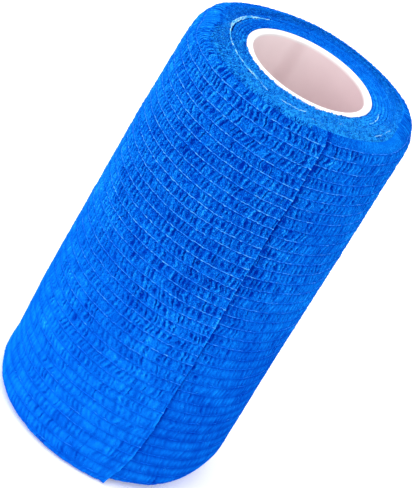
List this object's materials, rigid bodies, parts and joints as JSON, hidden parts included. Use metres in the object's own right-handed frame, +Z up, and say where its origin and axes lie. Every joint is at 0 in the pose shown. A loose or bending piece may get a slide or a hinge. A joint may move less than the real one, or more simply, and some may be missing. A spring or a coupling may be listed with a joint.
{
  "type": "cohesive bandage roll",
  "caption": "Elastic crepe bandage strip wound round an open core tube and standing on its end, with a ribbed outside and the cut end pressed down along the side.",
  "frame": {"origin": "on the roll's axis at the base that it stands on", "axes": "+Z up along the roll's axis; -Y towards the side that the picture shows, with the cut end a little to its right"},
  "size_m": [0.0552, 0.055, 0.1012],
  "materials": {
    "crepe_blue": "matt blue elastic crepe with slightly shiny fibres, slightly tacky",
    "core_white": "plain white, satin"
  },
  "bodies": {
    "root": {"bandage_roll": "crepe_blue", "core_tube": "core_white"}
  },
  "joints": []
}
